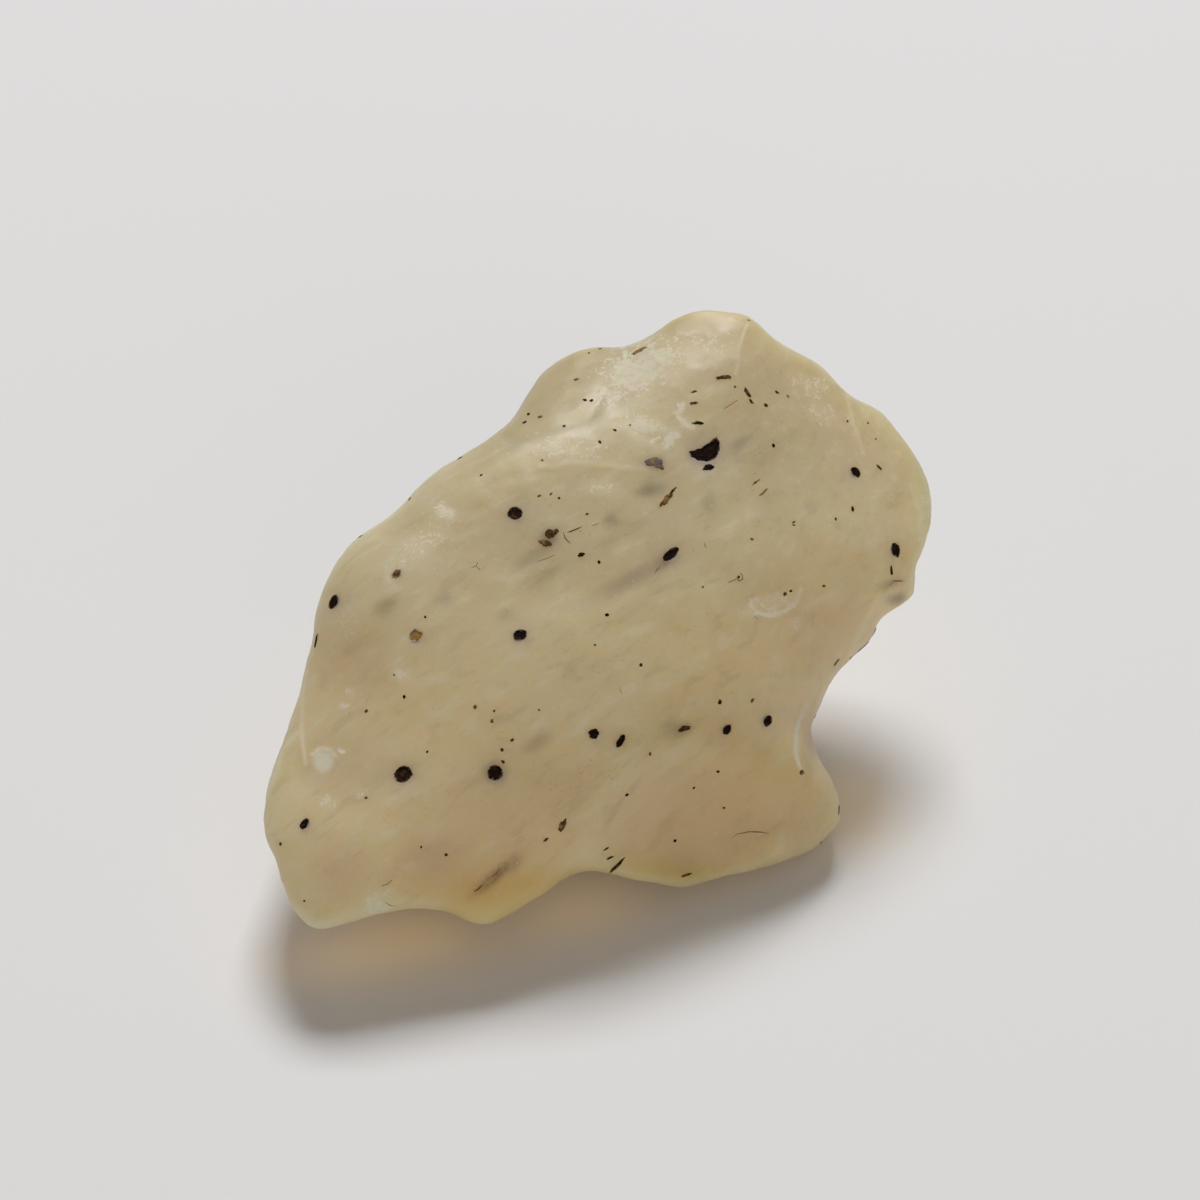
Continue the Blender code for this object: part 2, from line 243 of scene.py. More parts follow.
# Specks: across and up, each a fifth of a millimetre or so
SPECKS = [
    (1.50, 9.75), (-1.80, 9.70), (0.75, 9.50), (0.00, 8.90), (8.85, 11.40), (9.40, 11.20), (8.30, 10.75),
    (7.45, 15.00), (-2.05, 6.10), (-0.65, 5.30), (-0.05, 2.90), (5.15, 1.65), (0.35, 0.25), (-0.25, -1.25),
    (2.05, -2.25), (-8.75, 0.15), (-9.80, -3.85), (-11.70, -4.55), (-6.25, -4.35), (-5.30, -4.55),
    (-5.40, -5.05),
    (-3.05, -4.50), (-4.40, -6.00), (-4.90, -6.50), (-4.85, -7.10), (-8.65, -6.60), (-11.70, -8.90),
    (-8.95, -11.35), (-7.70, -11.75), (-16.00, -11.20), (-14.80, -14.05), (-15.25, -14.95), (6.00, -4.10),
    (2.50, -6.70), (1.35, -8.75), (4.70, -8.40), (6.20, -9.40), (3.75, -11.05), (11.80, 5.05), (9.70, 4.75),
    (7.60, 4.05), (11.20, 1.70), (6.95, 2.15), (9.25, 1.30), (9.55, 1.45), (-10.30, -2.75), (-2.90, 8.00),
    (-5.95, 7.25),
]

# Paint layers of the skin
LAYERS = ("frost_and_painted_highlight", "disc", "smoke_and_painted_shadow", "mauve_and_painted_shade", "stain_and_painted_shade", "painted_golden_shade", "painted_shade", "wear", "bowl")

# Soft marks that lie in or under the skin, with some of painted light and shade among them: kind, across,
# up, length, width, turn and strength
SOFT_MARKS = [
    ("smoke_and_painted_shadow", 2.55, 6.50, 1.5, 0.7, 10, 0.55),
    ("smoke_and_painted_shadow", -2.55, 4.15, 1.0, 1.1, 0, 0.55),
    ("smoke_and_painted_shadow", 3.60, -5.45, 1.3, 1.0, 0, 0.35),
    ("smoke_and_painted_shadow", 4.20, -5.40, 1.2, 0.6, 15, 0.35),
    ("smoke_and_painted_shadow", 14.85, 1.05, 1.0, 0.6, 10, 0.95),
    ("smoke_and_painted_shadow", -10.75, 0.60, 1.2, 1.0, 40, 0.35),
    ("smoke_and_painted_shadow", 10.55, 5.60, 0.8, 0.7, 0, 0.30),
    ("smoke_and_painted_shadow", -7.80, 1.10, 0.9, 0.8, 40, 0.30),
    ("smoke_and_painted_shadow", 5.45, 5.85, 0.8, 1.2, 0, 0.30),
    # painted shadow beside the bean
    ("smoke_and_painted_shadow", 7.00, 8.80, 1.4, 0.6, 40, 0.38),
    ("smoke_and_painted_shadow", 2.70, 7.85, 1.1, 0.7, 6, 0.40),
    ("smoke_and_painted_shadow", -4.70, 0.20, 0.9, 0.7, 0, 0.22),
    ("smoke_and_painted_shadow", -3.40, 3.10, 2.2, 0.8, 30, 0.26),
    # painted shade over the crown
    ("painted_shade", 5.60, 14.90, 4.6, 2.0, 0, 1.00),
    ("mauve_and_painted_shade", 1.65, 2.10, 4.0, 0.9, 29, 0.75),
    ("mauve_and_painted_shade", -3.10, -6.10, 1.5, 0.8, 38, 0.60),
    ("mauve_and_painted_shade", -8.60, -12.00, 3.4, 2.6, 30, 0.30),
    # painted shade over the lower right, where the thin glass glows
    ("mauve_and_painted_shade", 11.20, -8.40, 2.4, 3.4, 0, 0.12),
    ("mauve_and_painted_shade", -13.60, -13.00, 4.5, 4.0, 0, 0.35),
    # the next two are painted shade on the narrow facets beside the left edge and beside the notch line
    ("mauve_and_painted_shade", -15.85, -3.80, 4.6, 0.8, 68, 0.60),
    ("mauve_and_painted_shade", 10.55, -6.10, 3.4, 0.9, 88, 0.60),
    ("mauve_and_painted_shade", -13.00, -7.00, 5.0, 4.4, 0, 0.30),
    # a broad faint darkening over the middle, then painted shade over the lower right towards the floor
    ("stain_and_painted_shade", -0.50, -4.40, 9.0, 5.5, 12, 0.07),
    ("stain_and_painted_shade", 8.50, -11.40, 9.0, 3.8, 8, 0.15),
    # painted light: broad lightenings of the left side, the lower right and the right side, where the face
    # turns away from the light
    ("wear", -13.20, -1.20, 6.0, 5.0, 70, 0.35),
    ("wear", 9.00, -4.80, 6.0, 4.4, 0, 0.35),
    ("wear", 11.00, 0.20, 5.0, 7.0, 0, 0.25),
    ("stain_and_painted_shade", 0.55, 4.95, 0.75, 0.75, 0, 0.38),
    ("stain_and_painted_shade", -5.25, -7.65, 1.15, 1.15, 0, 0.35),
    ("stain_and_painted_shade", 3.20, 2.85, 1.0, 0.5, 48, 0.40),
    ("stain_and_painted_shade", -2.90, 2.20, 2.2, 0.6, 30, 0.22),
    ("stain_and_painted_shade", -5.15, -12.75, 2.9, 0.6, 41, 0.65),
    ("stain_and_painted_shade", -4.35, -12.15, 1.3, 0.8, 41, 0.40),
    ("stain_and_painted_shade", 14.60, 1.80, 1.2, 0.5, 20, 0.45),
    ("frost_and_painted_highlight", 2.10, 12.70, 4.2, 2.4, 25, 1.00),
    ("frost_and_painted_highlight", 0.50, 11.30, 2.2, 1.4, 50, 0.70),
    ("frost_and_painted_highlight", -1.75, 8.60, 4.0, 1.4, 0, 0.55),
    ("frost_and_painted_highlight", 2.10, 9.75, 2.2, 0.9, -15, 0.90),
    ("frost_and_painted_highlight", 3.50, 9.05, 0.8, 0.6, 60, 0.95),
    ("frost_and_painted_highlight", 0.15, 6.60, 1.8, 0.8, 0, 0.60),
    ("frost_and_painted_highlight", 10.55, 11.70, 2.2, 1.2, -20, 0.50),
    ("frost_and_painted_highlight", 11.10, 10.35, 2.0, 1.0, -20, 0.45),
    ("frost_and_painted_highlight", 5.60, 13.90, 3.0, 1.2, 0, 0.40),
    ("frost_and_painted_highlight", -7.75, 5.40, 1.3, 0.7, -30, 0.90),
    ("frost_and_painted_highlight", -9.00, 3.75, 3.0, 1.6, 40, 0.45),
    ("frost_and_painted_highlight", -10.05, -2.70, 1.1, 0.7, 0, 0.90),
    ("frost_and_painted_highlight", -12.50, -3.60, 0.5, 0.35, -20, 1.0),
    ("frost_and_painted_highlight", -12.85, -4.30, 0.5, 0.35, 0, 1.0),
    ("frost_and_painted_highlight", -12.50, 0.00, 1.2, 1.8, 0, 0.35),
    ("frost_and_painted_highlight", -13.70, -9.10, 1.0, 0.9, 0, 0.60),
    ("frost_and_painted_highlight", -12.05, -8.55, 0.8, 0.6, 0, 0.50),
    ("disc", -13.85, -7.00, 1.05, 1.25, 0, 1.00),
    ("frost_and_painted_highlight", -11.15, -14.05, 1.2, 1.4, 0, 0.80),
    ("frost_and_painted_highlight", -9.50, -12.35, 0.7, 0.6, 0, 0.45),
    ("frost_and_painted_highlight", 8.80, 0.95, 2.3, 1.1, 20, 0.75),
    ("frost_and_painted_highlight", 9.80, -0.15, 0.9, 0.5, 0, 0.50),
    ("frost_and_painted_highlight", 16.20, 4.60, 0.8, 3.0, 0, 0.35),
]

# Thin white scratches, and painted highlights along the disc's rim, the chip's arc and the notch line:
# width, strength and the points they run through
WHITE_LINES = [
    (0.16, 0.9, [(4.15, 10.8), (3.85, 10.3), (4.1, 9.85), (4.6, 9.6)]),
    (0.16, 1.0, [(3.85, 9.25), (3.45, 8.9), (3.3, 8.6)]),
    (0.14, 0.8, [(2.9, 9.1), (2.6, 8.9)]),
    (0.14, 0.7, [(-14.4, -6.75), (-14.0, -6.45), (-13.55, -6.5), (-13.2, -6.85)]),
    (0.12, 0.8, [(-13.05, -6.5), (-12.9, -6.65)]),
    (0.07, 0.9, [(10.30, -4.15), (9.84, -5.48), (9.76, -6.60), (9.95, -7.30)]),
    (0.13, 1.0, [(7.55, 0.75), (7.9, 0.35), (8.6, 0.22), (9.3, 0.50), (9.85, 0.95), (10.05, 1.55)]),
    (0.10, 0.6, [(7.6, 0.95), (8.1, 1.15), (8.7, 1.30)]),
    (0.10, 0.5, [(2.0, 13.25), (2.5, 13.3), (2.9, 13.0)]),
    (0.10, 0.7, [(1.2, 12.5), (1.6, 12.75), (2.1, 12.6)]),
    (0.10, 0.6, [(-0.3, 11.0), (0.1, 11.6), (0.6, 12.0)]),
]


# Colour, nodes and selection
def linear(hex_colour, alpha=1.0):
    """An sRGB hex colour as linear values."""
    channels = [int(hex_colour[i : i + 2], 16) / 255 for i in (1, 3, 5)]
    return [c / 12.92 if c <= 0.04045 else ((c + 0.055) / 1.055) ** 2.4 for c in channels] + [alpha]


def add_node(tree, kind, links=None, **settings):
    """Adds a node; settings name its properties, links name its inputs and what feeds or fills them."""
    made = tree.nodes.new(kind)
    for name, value in settings.items():
        setattr(made, name, value)
    for name, value in (links or {}).items():
        if isinstance(value, bpy.types.NodeSocket):
            tree.links.new(value, made.inputs[name])
        else:
            made.inputs[name].default_value = value
    return made


def new_material(name):
    material = bpy.data.materials.new(name)
    material.use_nodes = True
    tree = material.node_tree
    return material, tree, tree.nodes["Principled BSDF"]


def deselect():
    bpy.ops.object.select_all(action="DESELECT")


def activate(obj):
    deselect()
    obj.select_set(True)
    bpy.context.view_layer.objects.active = obj


def joined(parts, name):
    deselect()
    for part in parts:
        part.select_set(True)
    bpy.context.view_layer.objects.active = parts[0]
    bpy.ops.object.join()
    parts[0].name = name
    parts[0].data.name = name
    return parts[0]


# The stone's skin
def copy_of_node(node, name):
    mesh = bpy.data.objects[node].data.copy()
    mesh.name = name
    mesh.materials.clear()
    made = bpy.data.objects.new(name, mesh)
    bpy.context.collection.objects.link(made)
    activate(made)
    bpy.ops.object.mode_set(mode="EDIT")
    bpy.ops.mesh.select_all(action="SELECT")
    bpy.ops.mesh.remove_doubles(threshold=0.00002)
    bpy.ops.object.mode_set(mode="OBJECT")
    return made


def refine(stone):
    """Gives the solid an even fine mesh and rounds its facets."""
    activate(stone)
    remesh = stone.modifiers.new("even", "REMESH")
    remesh.mode = "VOXEL"
    remesh.voxel_size = VOXEL * MM
    bpy.ops.object.modifier_apply(modifier=remesh.name)
    soften = stone.modifiers.new("soften", "SMOOTH")
    soften.factor = 0.5
    soften.iterations = SOFTEN_ROUNDS
    bpy.ops.object.modifier_apply(modifier=soften.name)


def ease(stone):
    """Melts the solid's hard facet edges and its rough pits, away from the outline."""
    points, normals = vertex_places(stone.data)
    across, up, facing = sighted(points, normals)
    group = stone.vertex_groups.new(name="eased")
    weights = np.zeros(len(points))
    pitted_spots = [(x, y, length * 0.9) for name, x, y, width, length, depth, turn in BUBBLES]
    for x, y, reach in EASED_SPOTS + pitted_spots:
        gap = np.hypot(across - x, up - y) / reach
        weights = np.maximum(weights, np.clip(1.3 - gap, 0.0, 1.0))
    weights *= np.clip(facing * 1.5 - 0.5, 0.0, 1.0)
    for i in np.nonzero(weights > 0.01)[0]:
        group.add([int(i)], float(weights[i]), "REPLACE")
    activate(stone)
    smooth = stone.modifiers.new("ease", "SMOOTH")
    smooth.vertex_group = group.name
    smooth.factor = 0.5
    smooth.iterations = EASE_ROUNDS
    bpy.ops.object.modifier_apply(modifier=smooth.name)
    stone.vertex_groups.clear()


def split_faces(stone):
    """Splits the faces near fine lines, dishes and bubbles, so that they come out crisp."""
    mesh = stone.data
    centres = np.empty(len(mesh.polygons) * 3)
    mesh.polygons.foreach_get("center", centres)
    normals = np.empty(len(mesh.polygons) * 3)
    mesh.polygons.foreach_get("normal", normals)
    across, up, facing = sighted(centres.reshape(-1, 3), normals.reshape(-1, 3))
    near = np.full(len(across), 1e9)
    for name, height, half_width, wear, corners in RIDGES:
        if half_width <= FINE_LINE:
            near = np.minimum(near, line_distance(across, up, corners))
    for width, strength, corners in WHITE_LINES:
        near = np.minimum(near, line_distance(across, up, corners))
    for x, y, length, width, depth, turn in DISHES:
        near = np.minimum(near, np.maximum(np.hypot(across - x, up - y) - length / 2, 0.0))
    for name, x, y, width, length, depth, turn in BUBBLES:
        near = np.minimum(near, np.maximum(np.hypot(across - x, up - y) - length / 2, 0.0))
    chosen = (near < FINE_REACH) & (facing > 0.0)
    activate(stone)
    bpy.ops.object.mode_set(mode="EDIT")
    bpy.ops.mesh.select_mode(type="FACE")
    bpy.ops.mesh.select_all(action="DESELECT")
    bpy.ops.object.mode_set(mode="OBJECT")
    mesh.polygons.foreach_set("select", chosen)
    bpy.ops.object.mode_set(mode="EDIT")
    bpy.ops.mesh.subdivide(number_cuts=FINE_CUTS, smoothness=0.0)
    bpy.ops.object.mode_set(mode="OBJECT")


def vertex_places(mesh):
    """Vertex positions and normals as arrays."""
    points = np.empty(len(mesh.vertices) * 3)
    mesh.vertices.foreach_get("co", points)
    normals = np.empty(len(mesh.vertices) * 3)
    mesh.vertex_normals.foreach_get("vector", normals)
    return points.reshape(-1, 3), normals.reshape(-1, 3)


def sighted(points, normals):
    """Where the sighting lines through the points cross the face plane, and how far the skin faces out."""
    offsets = (points - np.array(STONE_CENTRE)) / MM
    across = offsets @ np.array(ACROSS)
    up = offsets @ np.array(UP)
    out = offsets @ np.array(OUT)
    reach = SIGHT_DISTANCE / (SIGHT_DISTANCE - out)
    facing = np.clip(normals @ np.array(OUT) / 0.2, 0.0, 1.0)
    return across * reach, SIGHT_UP + (up - SIGHT_UP) * reach, facing


def line_distance(across, up, corners):
    """Distance from each point to a line through the corners."""
    nearest = np.full(len(across), 1e9)
    for (x0, y0), (x1, y1) in zip(corners, corners[1:]):
        length = (x1 - x0) ** 2 + (y1 - y0) ** 2
        along = np.clip(((across - x0) * (x1 - x0) + (up - y0) * (y1 - y0)) / length, 0.0, 1.0)
        gap = np.hypot(across - x0 - along * (x1 - x0), up - y0 - along * (y1 - y0))
        nearest = np.minimum(nearest, gap)
    return nearest


def relief(stone):
    """Wind-worn relief: low swells, shallow dimples between them and the ridges of the broad face."""
    points, normals = vertex_places(stone.data)
    across, up, facing = sighted(points, normals)
    lift = np.full(len(points), -SKIN_BACK)
    edges = np.clip(convexity(stone.data, 30) / 0.0012, 0.0, 1.0)
    for i, point in enumerate(points):
        place = Vector(point) / MM
        swell = noise.noise(place / SWELL_WIDTH)
        near = noise.voronoi(place / DIMPLE_WIDTH)[0][0]
        wear = 0.5 + 0.5 * noise.noise(place / 5.0 + Vector((7.0, 0.0, 3.0)))
        lift[i] += SWELL_DEPTH * swell + DIMPLE_DEPTH * wear * (min(1.0, near * near * 2.0) - 0.5)
        if edges[i] > 0.05:
            bite = noise.voronoi(place / NIBBLE_WIDTH + Vector((3.0, 9.0, 1.0)))[0][0]
            lift[i] += NIBBLE_DEPTH * edges[i] * (min(1.0, bite * bite * 1.8) - 0.55)
    for name, height, half_width, wear, corners in RIDGES:
        gap = line_distance(across, up, corners)
        lift += height * facing * np.exp(-((gap / half_width) ** 2))
    for x, y, length, width, depth, turn in DISHES:
        lift -= facing * soft_spot(across, up, ("dish", x, y, length, width, turn, depth))
    for width, strength, corners in WHITE_LINES:
        lift += SCRATCH_LIFT * facing * np.exp(-((line_distance(across, up, corners) / width) ** 2))
    points += normals * (lift * MM)[:, None]
    low, high = (np.array(corner) for corner in cad_box)
    points = np.clip(points, low, high)
    stone.data.vertices.foreach_set("co", points.ravel())
    stone.data.update()


# Places on the skin
def skin_tree(stone):
    corners = [vertex.co for vertex in stone.data.vertices]
    return BVHTree.FromPolygons(corners, [face.vertices for face in stone.data.polygons])


def skin_point(across, up):
    """Where a sighting line meets the skin, and the skin's way out there."""
    target = STONE_CENTRE + (ACROSS * across + UP * up) * MM
    hit = skin.ray_cast(SIGHT, (target - SIGHT).normalized())
    if hit[0] is None:
        hit = skin.find_nearest(target)
    return hit[0], hit[1]


def hidden_point(way):
    """The skin met on the way out from the stone's centre, given in face axes."""
    heading = (ACROSS * way[0] + UP * way[1] + OUT * way[2]).normalized()
    hit = skin.ray_cast(STONE_CENTRE + heading * 60 * MM, -heading)
    return hit[0], hit[1]


def seat(place, outward, turn):
    """A frame on the skin: X runs along the mark's length, Y along its width, Z straight out."""
    along = ACROSS * math.cos(math.radians(turn)) + UP * math.sin(math.radians(turn))
    length_way = (along - outward * along.dot(outward)).normalized()
    width_way = outward.cross(length_way)
    turned = Matrix((length_way, width_way, outward)).transposed().to_4x4()
    return Matrix.Translation(place) @ turned


def ball_stock(name, subdivisions):
    """An ico sphere of radius 1 that bubbles, silt and flecks are shaped from."""
    deselect()
    bpy.ops.mesh.primitive_ico_sphere_add(subdivisions=subdivisions, radius=1.0)
    made = bpy.context.object
    made.name = name
    return made


def shaped(stock, name, where, half_sizes, roughness, seed, sink=0.0, bend=0.0, lid=None, tone=None):
    """A copy of the stock ball, roughened, bent, sized in millimetres and seated on the skin."""
    mesh = stock.data.copy()
    shift = Vector((seed * 3.7, seed * 1.9, seed * 5.3))
    for vertex in mesh.vertices:
        spot = vertex.co.normalized()
        lumps = noise.noise(spot * 1.6 + shift)
        crumbs = noise.noise(spot * 4 + shift)
        grown = spot * (1.0 + roughness * lumps + 0.5 * roughness * crumbs)
        grown.y += bend * (0.5 - grown.x * grown.x)
        local = Vector((grown.x * half_sizes[0], grown.y * half_sizes[1], grown.z * half_sizes[2] - sink))
        if lid is not None and local.z > lid:
            local.z = lid + 0.03 * noise.noise(local * 6.0 + shift)
        vertex.co = where @ (local * MM)
    made = bpy.data.objects.new(name, mesh)
    bpy.context.collection.objects.link(made)
    if tone is not None:
        mark_tone(mesh, tone)
    return made


def mark_tone(mesh, tone):
    attribute = mesh.attributes.new("tone", "FLOAT", "POINT")
    attribute.data.foreach_set("value", [tone] * len(mesh.vertices))


# Bubbles and silt
def bubble_frames():
    """Each bubble's seat on the skin, half sizes and tone of its silt."""
    found = []
    for name, across, up, width, length, depth, turn in BUBBLES:
        where = seat(*skin_point(across, up), turn)
        found.append((name, where, (length / 2, width / 2, depth), BUBBLE_TONES.get(name, PLAIN_TONE)))
    for i, (way, width) in enumerate(HIDDEN_BUBBLES):
        where = seat(*hidden_point(way), 40.0 * i)
        found.append(("hidden", where, (width * 0.55, width * 0.5, width * 0.55), 0.05 + 0.04 * (i % 4)))
    return found


def cut_bubbles(stone, frames):
    """Cuts the bubbles into the skin as open pits."""
    stock = ball_stock("bubble_stock", 4)
    cutters = []
    for i, (name, where, half_sizes, tone) in enumerate(frames):
        bend = BEAN_BEND if name == "bean" else 0.0
        cutters.append(shaped(stock, "cutter", where, half_sizes, WALL_ROUGHNESS, i + 1, bend=bend))
    cutter = joined(cutters, "bubble_cutter")
    activate(stone)
    cut = stone.modifiers.new("open bubbles", "BOOLEAN")
    cut.operation = "DIFFERENCE"
    cut.solver = "EXACT"
    cut.object = cutter
    bpy.ops.object.modifier_apply(modifier=cut.name)
    bpy.data.objects.remove(cutter)
    bpy.data.objects.remove(stock)


def stroke(name, width, tone, corners):
    """A tapered thread that follows the skin through the corners."""
    path = bpy.data.curves.new(name, "CURVE")
    path.dimensions = "3D"
    path.bevel_depth = MM
    path.bevel_resolution = 0
    path.use_fill_caps = True
    steps = []
    for (x0, y0), (x1, y1) in zip(corners, corners[1:]):
        count = max(2, round(math.hypot(x1 - x0, y1 - y0) / 0.12))
        steps += [(x0 + (x1 - x0) * i / count, y0 + (y1 - y0) * i / count) for i in range(count)]
    steps.append(corners[-1])
    spline = path.splines.new("POLY")
    spline.points.add(len(steps) - 1)
    for i, (point, (across, up)) in enumerate(zip(spline.points, steps)):
        place, outward = skin_point(across, up)
        point.co = (*(place - outward * width * 0.2 * MM), 1.0)
        taper = math.sin(math.pi * (i + 0.6) / (len(steps) + 0.2))
        point.radius = width * 0.5 * (0.25 + 0.75 * taper) * (1.0 + 0.3 * noise.noise(place / MM * 3.0))
    made = bpy.data.objects.new(name, path)
    bpy.context.collection.objects.link(made)
    activate(made)
    bpy.ops.object.convert(target="MESH")
    mark_tone(made.data, tone)
    return made


def silt_and_flecks(frames):
    """Silt in the bubbles with every fleck, thread and speck of the skin, as one piece."""
    picker = random.Random(41)
    fine = ball_stock("silt_stock", 4)
    middling = ball_stock("fleck_stock", 3)
    coarse = ball_stock("speck_stock", 2)
    parts = []
    for i, (name, where, half_sizes, tone) in enumerate(frames):
        bend = BEAN_BEND if name == "bean" else 0.0
        filled = [size * SILT_FILL for size in half_sizes]
        fill = shaped(fine, "silt", where, filled, WALL_ROUGHNESS, i + 1, bend=bend, lid=SILT_LID, tone=tone)
        parts.append(fill)
    for i, (across, up, length, width, turn, tone) in enumerate(FLECKS):
        where = seat(*skin_point(across, up), turn)
        sizes = (length / 2, width / 2, 0.06)
        parts.append(shaped(middling, "fleck", where, sizes, 0.45, i + 40, sink=0.02, bend=0.2, tone=tone))
    for width, tone, corners in STROKES:
        parts.append(stroke("thread", width, tone, corners))
    for i, (across, up) in enumerate(SPECKS):
        where = seat(*skin_point(across, up), picker.uniform(0, 180))
        length = picker.uniform(0.13, 0.26)
        sizes = (length / 2, length * picker.uniform(0.3, 0.48), 0.05)
        tone = picker.choice((0.2, 0.35, 0.45, 0.52, 0.6))
        parts.append(shaped(coarse, "speck", where, sizes, 0.4, i + 100, sink=0.015, tone=tone))
    for i in range(90):
        way = hidden_way(picker)
        where = seat(*hidden_point(way), picker.uniform(0, 180))
        long_one = picker.random() < 0.25
        length = picker.uniform(0.4, 0.9) if long_one else picker.uniform(0.12, 0.28)
        sizes = (length / 2, length * (0.15 if long_one else 0.4), 0.05)
        tone = picker.choice((0.1, 0.3, 0.45, 0.55, 0.65))
        parts.append(shaped(coarse, "speck", where, sizes, 0.4, i + 200, sink=0.015, tone=tone))
    for stock in (fine, middling, coarse):
        bpy.data.objects.remove(stock)
    return joined(parts, "silt_and_flecks")


def hidden_way(picker):
    """A seeded way out of the stone that the broad face doesn't show, in face axes."""
    while True:
        way = Vector((picker.gauss(0, 1), picker.gauss(0, 1), picker.gauss(0, 1))).normalized()
        heading = ACROSS * way.x + UP * way.y + OUT * way.z
        if way.z < 0.05 and heading.z > -0.6:
            return way


# Paint of the skin, as vertex attributes
def soft_spot(across, up, mark):
    """A soft-edged oval, 1 at its middle and near 0 at its length and width."""
    kind, x, y, length, width, turn, strength = mark
    cos, sin = math.cos(math.radians(turn)), math.sin(math.radians(turn))
    along = (across - x) * cos + (up - y) * sin
    aside = (up - y) * cos - (across - x) * sin
    power = 3.0 if kind == "disc" else 1.3
    return strength * np.exp(-(((along / length * 2) ** 2 + (aside / width * 2) ** 2) ** power))


def convexity(mesh, rounds):
    """How far each vertex stands proud of its neighbours, evened out over some rounds."""
    points, normals = vertex_places(mesh)
    edges = np.empty(len(mesh.edges) * 2, dtype=np.int64)
    mesh.edges.foreach_get("vertices", edges)
    one, other = edges.reshape(-1, 2).T
    count = np.bincount(one, minlength=len(points)) + np.bincount(other, minlength=len(points))

    def mean(values):
        total = np.bincount(one, values[other], len(points)) + np.bincount(other, values[one], len(points))
        return total / np.maximum(count, 1)

    middles = np.stack([mean(points[:, i]) for i in range(3)], axis=1)
    proud = np.einsum("ij,ij->i", points - middles, normals) / MM
    for _ in range(rounds):
        proud = mean(proud)
    return proud


def paint(stone, frames):
    mesh = stone.data
    points, normals = vertex_places(mesh)
    across, up, facing = sighted(points, normals)
    layers = {kind: np.zeros(len(points)) for kind in LAYERS}
    for mark in SOFT_MARKS:
        layers[mark[0]] = np.maximum(layers[mark[0]], facing * soft_spot(across, up, mark))
    # White lines go into the frost layer: scratches, and painted highlights along rims
    for width, strength, corners in WHITE_LINES:
        gap = line_distance(across, up, corners)
        layers["frost_and_painted_highlight"] = np.maximum(layers["frost_and_painted_highlight"], facing * strength * np.exp(-((gap / width) ** 2)))
    # Ridges get pale wear with a painted highlight along them; convex edges get pale wear
    for name, height, half_width, wear, corners in RIDGES:
        gap = line_distance(across, up, corners)
        layers["wear"] += facing * wear * np.exp(-((gap / (half_width * 0.7)) ** 2))
    layers["wear"] += np.clip((convexity(mesh, 5) - 0.004) / 0.02, 0.0, 1.0)
    # Painted golden shade and glow low down, over the lower right scallop, the foot and the lower brim,
    # where the floor's shade and light come through the glass
    scallop = 6.5 - np.hypot(across - 8.0, up + 12.0)
    foot = np.exp(-(((across + 5.6) / 3.4) ** 2 + ((up + 14.6) / 2.2) ** 2))
    brim = np.exp(-(((across - 1.0) / 6.0) ** 2 + ((up + 13.4) / 1.3) ** 2))
    # Painted shade: the shoulder that faces the overhead light is darkened, away from the right side
    shoulder = np.clip((normals @ np.array((-0.35, 0.60, 0.72)) - 0.45) / 0.45, 0.0, 1.0)
    shoulder *= np.clip((8.0 - across) / 6.0, 0.0, 1.0) * np.clip((across + 8.0) / 4.0, 0.0, 1.0)
    layers["painted_shade"] += shoulder
    layers["painted_golden_shade"] = facing * (0.45 * np.clip(0.5 + scallop / 3.0, 0.0, 1.0) + foot + brim)
    for name, where, half_sizes, tone in frames:
        local = (points - np.array(where.translation)) / MM @ np.array(where.to_3x3())
        local /= np.array(half_sizes)
        local[:, 1] -= (BEAN_BEND if name == "bean" else 0.0) * (0.5 - local[:, 0] ** 2)
        reach = np.sqrt((local**2).sum(axis=1))
        dirt = min(1.0, max(0.84, 1.6 - 1.6 * tone))
        layers["bowl"] = np.maximum(layers["bowl"], dirt * np.clip((1.22 - reach) / 0.10, 0.0, 1.0))
    layers["wear"] *= 1.0 - layers["bowl"]
    for name, values in layers.items():
        attribute = mesh.attributes.new(name, "FLOAT", "POINT")
        attribute.data.foreach_set("value", np.clip(values, 0.0, 1.0))


